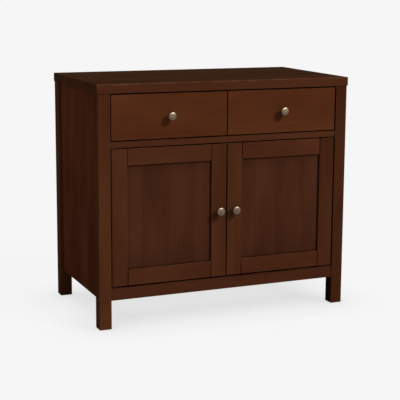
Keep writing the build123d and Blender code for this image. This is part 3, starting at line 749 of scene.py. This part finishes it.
BOX_DARK, BOX_PALE = (0.36, 0.20, 0.095), (0.58, 0.39, 0.22)
BOX_GLOSS = 0.25
BOX_RINGS = 0.4
BACK_DARK, BACK_PALE = (0.120, 0.055, 0.024), (0.205, 0.103, 0.048)
BACK_GLOSS = 0.0
BACK_RINGS = 0.15
BOARD_FIGURE = {"Cloud": 0.7, "Bands": 0.4, "Fibres": 0.5, "Pores": -0.2}
BOARD_TONE = 0.55
BOARD_ROUGHNESS = 0.4
ROUGHNESS_SPREAD = 0.2


def plain_board(name, along, dark, pale, gloss, rings):
    """Clear or thinly stained wood between two tones. rings is how strongly its growth rings show."""
    material, t = new_material("board_" + name)
    figure = t.group(FIGURE, {"Grain": grain_of(t, along)})
    tone = figure_tone(t, figure, BOARD_TONE + rings / 2, {"Rings": -rings, **BOARD_FIGURE})
    principled(
        t,
        {
            "Base Color": t.mix(tone, colour(dark), colour(pale)),
            "Roughness": t.plus(BOARD_ROUGHNESS, ROUGHNESS_SPREAD, figure["Fibres"]),
            "Normal": t.bump(WOOD_BUMP, WOOD_BUMP_DEPTH, figure["Fibres"]),
            "Specular IOR Level": gloss,
        },
    )
    dress(name, material)


def box_board(name, along):
    plain_board(name, along, BOX_DARK, BOX_PALE, BOX_GLOSS, BOX_RINGS)


for side in SIDES:
    for part, along in (("sides", "y"), ("back", "x"), ("bottom", "x")):
        box_board(f"{side}_drawer_{part}", along)
box_board("slide_spacers", "y")
plain_board("back_panel", "z", BACK_DARK, BACK_PALE, BACK_GLOSS, BACK_RINGS)

# Metal and plastic

FILM_SCALE = 35.0
HAIR_STRENGTH = 0.5  # beside the film's
METAL_LEVEL = (0.3, 0.7)  # of both together, from dark to light
METAL_BUMP = 0.1
METAL_BUMP_DEPTH = 0.0001
LACQUER_ROUGHNESS = 0.25


def metal(name, dark, light, rough, hair, lacquer=0.0):
    """Brushed or turned metal under a thin film. hair is a function that gives its fine lines."""
    material, t = new_material(name)
    film = t.noise(t.place(), FILM_SCALE, detail=4.0, roughness=0.6)
    lines = t.noise(hair(t), 1.0)
    both = t.plus(film, HAIR_STRENGTH, t.math("SUBTRACT", lines, 0.5), clamp=True)
    principled(
        t,
        {
            "Base Color": t.mix(t.step(both, *METAL_LEVEL), colour(dark), colour(light)),
            "Roughness": t.plus(rough - ROUGHNESS_SPREAD / 2, ROUGHNESS_SPREAD, both),
            "Metallic": 1.0,
            "Normal": t.bump(METAL_BUMP, METAL_BUMP_DEPTH, lines),
            "Coat Weight": lacquer,
            "Coat Roughness": LACQUER_ROUGHNESS,
        },
    )
    return material


def brushed(scale):
    """Straight lines, which run along the axis on which scale is small."""
    return lambda t: t.vector("MULTIPLY", t.place(), scale)


TURNED_SCALE = (1600.0, 600.0, 0.0)  # lines in a metre outward from the axis, and along it


def turned(centre):
    """Lines round an axis that runs front to back through centre."""

    def hair(t):
        x, y, z = t.split(t.vector("SUBTRACT", t.place(), tuple(centre)))
        across = t.add("ShaderNodeCombineXYZ", {0: t.radius(x, z), 1: y}).outputs[0]
        return t.vector("MULTIPLY", across, TURNED_SCALE)

    return hair


MOULDED_GRAIN = 1800.0  # in a metre
MOULDED_PATCHES = 60.0  # in a metre
GRAIN_SHARE = 0.4  # of the tone, and the patches give the rest
MOULDED_ROUGHNESS = 0.45
MOULDED_LEVEL = (0.35, 0.65)  # of the tone, from dark to light
MOULDED_BUMP = 0.25
MOULDED_BUMP_DEPTH = 0.00005


def moulded(name, dark, light):
    """Matt plastic or thick paint with a fine texture."""
    material, t = new_material(name)
    grain = t.noise(t.place(), MOULDED_GRAIN)
    patches = t.noise(t.place(), MOULDED_PATCHES, detail=3.0)
    tone = t.plus(t.math("MULTIPLY", patches, 1 - GRAIN_SHARE), GRAIN_SHARE, grain)
    principled(
        t,
        {
            "Base Color": t.mix(t.step(tone, *MOULDED_LEVEL), colour(dark), colour(light)),
            "Roughness": t.plus(MOULDED_ROUGHNESS, ROUGHNESS_SPREAD, grain),
            "Normal": t.bump(MOULDED_BUMP, MOULDED_BUMP_DEPTH, grain),
            "Specular IOR Level": 0.0,
        },
    )
    return material


SLIDE_DARK, SLIDE_LIGHT = (0.36, 0.37, 0.38), (0.55, 0.56, 0.57)
SCREW_DARK, SCREW_LIGHT = (0.36, 0.34, 0.28), (0.55, 0.52, 0.44)
NICKEL_DARK, NICKEL_LIGHT = (0.072, 0.042, 0.019), (0.108, 0.069, 0.036)
PLASTIC_DARK, PLASTIC_LIGHT = (0.034, 0.019, 0.012), (0.052, 0.030, 0.019)
BRONZE_DARK, BRONZE_LIGHT = (0.016, 0.010, 0.007), (0.030, 0.019, 0.012)

SLIDE_ROUGHNESS = 0.35
SCREW_ROUGHNESS = 0.38
NICKEL_ROUGHNESS = 0.44
SLIDE_LINES = (900.0, 40.0, 900.0)
SCREW_LINES = (900.0, 900.0, 900.0)

slide_steel = metal("slide_zinc", SLIDE_DARK, SLIDE_LIGHT, SLIDE_ROUGHNESS, brushed(SLIDE_LINES))
screw_steel = metal("screw_zinc", SCREW_DARK, SCREW_LIGHT, SCREW_ROUGHNESS, brushed(SCREW_LINES))
brown_plastic = moulded("catch_plastic", PLASTIC_DARK, PLASTIC_LIGHT)
bronze = moulded("hinge_bronze", BRONZE_DARK, BRONZE_LIGHT)


def dress_knob(name):
    low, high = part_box(name)
    hair = turned((low + high) / 2)
    nickel = metal("nickel_" + name, NICKEL_DARK, NICKEL_LIGHT, NICKEL_ROUGHNESS, hair, lacquer=1.0)
    dress(name, nickel)


for side in SIDES:
    dress_knob(f"{side}_drawer_knob")
    dress_knob(f"{side}_door_knob")
    dress(f"{side}_drawer_slides", slide_steel)
    dress(f"{side}_drawer_middle_slides", slide_steel)
    dress(f"{side}_drawer_knob_screw", screw_steel)
    dress(f"{side}_door_knob_screw", screw_steel)
    dress(f"{side}_door_strike_plate", bronze)
    dress(f"{side}_door_hinge_leaves", bronze)
dress("case_slides", slide_steel)
dress("shelf_pins", screw_steel)
dress("door_catch", brown_plastic)
dress("case_hinge_leaves", bronze)
dress("hinge_pins", bronze)

# Screws with a cross recess, in place of the plain ones

HEAD_RADIUS = 0.0035
HEAD_RIM = 0.0002  # height of the head's straight rim
HEAD_HEIGHT = 0.00175
SHANK_RADIUS = 0.00175
TIP_RADIUS = 0.0003
RECESS_ARM = 0.0019  # from the middle to the end of an arm
RECESS_HALF = 0.00042  # half an arm's width
RECESS_DEPTH = 0.0012
RING = 28  # points round a screw
WELD = 1e-6
TIP_DEPTH = 1e-4  # what lies within this of a screw's end belongs to that end
SMOOTH_BELOW = 35.0  # degrees


def islands(bm):
    """The vertices of each separate solid in a mesh."""
    seen = set()
    for start in bm.verts:
        if start in seen:
            continue
        seen.add(start)
        island = [start]
        for vert in island:
            for edge in vert.link_edges:
                other = edge.other_vert(vert)
                if other not in seen:
                    seen.add(other)
                    island.append(other)
        yield island


def screw_place(points):
    """The middle of a screw's head, the direction that its shank points in, and its length."""
    low = Vector([min(p[k] for p in points) for k in range(3)])
    high = Vector([max(p[k] for p in points) for k in range(3)])
    axis = max(range(3), key=lambda k: high[k] - low[k])
    ends = []
    for end in (low[axis], high[axis]):
        centre = (low + high) / 2
        centre[axis] = end
        width = max((p - centre).length for p in points if abs(p[axis] - end) < TIP_DEPTH)
        ends.append((width, centre))
    ends.sort(key=lambda pair: pair[0])
    tip, head = ends[0][1], ends[1][1]
    return head, (tip - head).normalized(), (tip - head).length


def screw_places(name):
    """Where each of a node's screws is."""
    bm = bmesh.new()
    bm.from_mesh(nodes[name].data)
    bmesh.ops.remove_doubles(bm, verts=bm.verts, dist=WELD)
    places = [screw_place([vert.co for vert in island]) for island in islands(bm)]
    bm.free()
    return places


def ring_points(radius, height):
    turns = [2 * math.pi * k / RING for k in range(RING)]
    return [Vector((radius * math.cos(a), radius * math.sin(a), height)) for a in turns]


def cross_points(arm, half, height):
    quarter = [(half, half), (half, arm), (-half, arm)]
    points = []
    for k in range(4):
        turn = Matrix.Rotation(k * math.pi / 2, 3, "Z")
        points += [turn @ Vector((x, y, height)) for x, y in quarter]
    return points


def add_loop(bm, points):
    """A closed line through points: its vertices and its edges."""
    verts = [bm.verts.new(p) for p in points]
    edges = [bm.edges.new((a, b)) for a, b in zip(verts, verts[1:] + verts[:1])]
    return verts, edges


def bridge(bm, lower, upper):
    """A band of faces between two closed lines."""
    for k in range(len(lower)):
        after = (k + 1) % len(lower)
        bm.faces.new((lower[k], lower[after], upper[after], upper[k]))


def add_screw(bm, place, length):
    """A screw whose head faces +Z before place turns it."""
    start = len(bm.verts)
    rim, rim_edges = add_loop(bm, ring_points(HEAD_RADIUS, 0.0))
    cross, cross_edges = add_loop(bm, cross_points(RECESS_ARM, RECESS_HALF, 0.0))
    bmesh.ops.triangle_fill(bm, edges=rim_edges + cross_edges, use_beauty=True, normal=(0, 0, 1))
    floor = add_loop(bm, cross_points(RECESS_ARM / 2, RECESS_HALF / 2, -RECESS_DEPTH))[0]
    bridge(bm, floor, cross)
    bm.faces.new(floor)
    above = rim
    down = (
        (HEAD_RADIUS, -HEAD_RIM),
        (SHANK_RADIUS, -HEAD_HEIGHT),
        (SHANK_RADIUS, -length),
        (TIP_RADIUS, -length),
    )
    for radius, height in down:
        below = add_loop(bm, ring_points(radius, height))[0]
        bridge(bm, below, above)
        above = below
    bm.faces.new(reversed(above))
    bm.verts.ensure_lookup_table()
    bmesh.ops.transform(bm, matrix=place, verts=bm.verts[start:])


def aimed(at, pointing):
    """Placement that puts +Z opposite to pointing at a place."""
    return Matrix.Translation(at) @ (-pointing).to_track_quat("Z", "Y").to_matrix().to_4x4()


def finished(bm, name, material, body):
    """A detailed piece made of bm, riding on its body."""
    bmesh.ops.recalc_face_normals(bm, faces=bm.faces)
    mesh = bpy.data.meshes.new(name)
    bm.to_mesh(mesh)
    bm.free()
    mesh.shade_smooth()
    mesh.set_sharp_from_angle(angle=math.radians(SMOOTH_BELOW))
    mesh.materials.append(material)
    piece = new_object(name, mesh)
    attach(piece, body)
    return piece


SCREW_SETS = {
    "case_screws": "carcass",
    "left_door_screws": "left_door",
    "right_door_screws": "right_door",
}
for name, body in SCREW_SETS.items():
    bm = bmesh.new()
    for head, pointing, length in screw_places(name):
        add_screw(bm, aimed(head, pointing), length)
    piece = finished(bm, name + "_crossed", screw_steel, body)
    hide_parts(name)

# Studio

BACKDROP = 0.922
ROOM_LIGHT = 0.27
FLOOR_HALF = 60.0
FLOOR_DROP = 0.0004  # keeps the floor just clear of the feet
FLOOR_TONE = 0.8
FLOOR_SHARE = 0.03  # of the seen floor's brightness that comes from the lamps
FLOOR_LIGHT = 0.82  # what the open floor receives
CONTACT_SHADE = 0.33
CONTACT_REACH = 0.20
CONTACT_SAMPLES = 8
KEY_LIGHT = 2.75
KEY_FROM = (0.53, -0.60, 0.62)
KEY_SPREAD = 14.0  # degrees
SOFTBOX_AT = (0.65, -2.0, 2.3)
SOFTBOX_TO = (0.0, 0.0, 0.6)
SOFTBOX_SIZE = (2.4, 1.2)
SOFTBOX_POWER = 130.0
WHITE = grey(1.0)


def seen_directly(t):
    """1 for camera, glossy and transmission rays, and 0 for the rest."""
    path = t.add("ShaderNodeLightPath").outputs
    either = t.math("MAXIMUM", path["Is Camera Ray"], path["Is Glossy Ray"])
    return t.math("MAXIMUM", either, path["Is Transmission Ray"])


def make_world():
    """A pale backdrop where it is seen. The light that it gives is dimmer."""
    world = bpy.data.worlds.new("studio")
    world.use_nodes = True
    world.node_tree.nodes.clear()
    t = Tree(world.node_tree)
    strength = t.plus(ROOM_LIGHT, BACKDROP - ROOM_LIGHT, seen_directly(t))
    background = t.add("ShaderNodeBackground", {"Color": WHITE, "Strength": strength})
    t.add("ShaderNodeOutputWorld", {"Surface": background.outputs[0]})
    bpy.context.scene.world = world


def floor_material():
    """Plain grey for the light it throws back. Seen itself, it glows like the backdrop.

    Its glow is weaker near the feet, a painted shadow, and a small share of its brightness comes from
    the lamps.
    """
    material, t = new_material("studio_floor")
    plain = t.add("ShaderNodeBsdfDiffuse", {"Color": grey(FLOOR_TONE)})
    pale = t.add("ShaderNodeBsdfDiffuse", {"Color": grey(FLOOR_SHARE)})
    reach = {"Distance": CONTACT_REACH}
    open_sky = t.add("ShaderNodeAmbientOcclusion", reach, samples=CONTACT_SAMPLES).outputs["AO"]
    glowing = BACKDROP - FLOOR_SHARE * FLOOR_LIGHT
    strength = t.plus(glowing * (1 - CONTACT_SHADE), glowing * CONTACT_SHADE, open_sky)
    glow = t.add("ShaderNodeEmission", {"Color": WHITE, "Strength": strength})
    shown = t.add("ShaderNodeAddShader", {0: pale.outputs[0], 1: glow.outputs[0]})
    inputs = {0: seen_directly(t), 1: plain.outputs[0], 2: shown.outputs[0]}
    mixed = t.add("ShaderNodeMixShader", inputs)
    t.add("ShaderNodeOutputMaterial", {"Surface": mixed.outputs[0]})
    return material


def make_floor():
    """A pale floor that meets the backdrop without a line and darkens softly round the feet."""
    mesh = bpy.data.meshes.new("floor")
    corners = [(x * FLOOR_HALF, y * FLOOR_HALF, 0) for x, y in ((-1, -1), (1, -1), (1, 1), (-1, 1))]
    mesh.from_pydata(corners, [], [(0, 1, 2, 3)])
    mesh.materials.append(floor_material())
    floor = new_object("floor", mesh)
    floor.location.z = -FLOOR_DROP
    floor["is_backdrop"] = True


def shine_from(lamp, direction):
    """Turn a lamp so that its light comes from that direction."""
    lamp.rotation_mode = "QUATERNION"
    lamp.rotation_quaternion = Vector(direction).to_track_quat("Z", "Y")


def make_key():
    """A soft key light from the front right, above."""
    light = bpy.data.lights.new("key", "SUN")
    light.energy = KEY_LIGHT
    light.angle = math.radians(KEY_SPREAD)
    shine_from(new_object("key", light), KEY_FROM)


def make_softbox():
    """A large softbox above the front, which lights nothing but gloss."""
    light = bpy.data.lights.new("softbox", "AREA")
    light.shape = "RECTANGLE"
    light.size, light.size_y = SOFTBOX_SIZE
    light.energy = SOFTBOX_POWER
    softbox = new_object("softbox", light)
    softbox.location = SOFTBOX_AT
    shine_from(softbox, Vector(SOFTBOX_AT) - Vector(SOFTBOX_TO))
    softbox.visible_camera = False
    softbox.visible_diffuse = False


make_world()
make_floor()
make_key()
make_softbox()

# Camera, from a perspective fit of the object's edges

# Places are in metres, angles in radians, and the lens and sensor in millimetres
CAMERA_AT = (-1.65124, -3.87915, 1.20739)
CAMERA_YAW = 0.41253
CAMERA_PITCH = -0.17482
CAMERA_ROLL = 0.00766
CAMERA_LENS = 101.64
CAMERA_SENSOR = 36.0
CAMERA_SHIFT = (-0.0275, -0.05)


def make_camera():
    data = bpy.data.cameras.new("camera")
    data.lens = CAMERA_LENS
    data.sensor_width = CAMERA_SENSOR
    data.shift_x, data.shift_y = CAMERA_SHIFT
    camera = new_object("camera", data)
    sin_yaw, cos_yaw = math.sin(CAMERA_YAW), math.cos(CAMERA_YAW)
    sin_pitch, cos_pitch = math.sin(CAMERA_PITCH), math.cos(CAMERA_PITCH)
    ahead = Vector((sin_yaw * cos_pitch, cos_yaw * cos_pitch, sin_pitch))
    across = Vector((cos_yaw, -sin_yaw, 0.0))
    upward = across.cross(ahead)
    right = across * math.cos(CAMERA_ROLL) + upward * math.sin(CAMERA_ROLL)
    up = upward * math.cos(CAMERA_ROLL) - across * math.sin(CAMERA_ROLL)
    turn = Matrix((right, up, -ahead)).transposed().to_4x4()
    camera.matrix_world = Matrix.Translation(CAMERA_AT) @ turn
    bpy.context.scene.camera = camera


make_camera()
bpy.context.scene.view_settings.view_transform = "Standard"

for key, corners in (("cad", cad_box), ("visual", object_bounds())):
    [list(corner) for corner in corners]
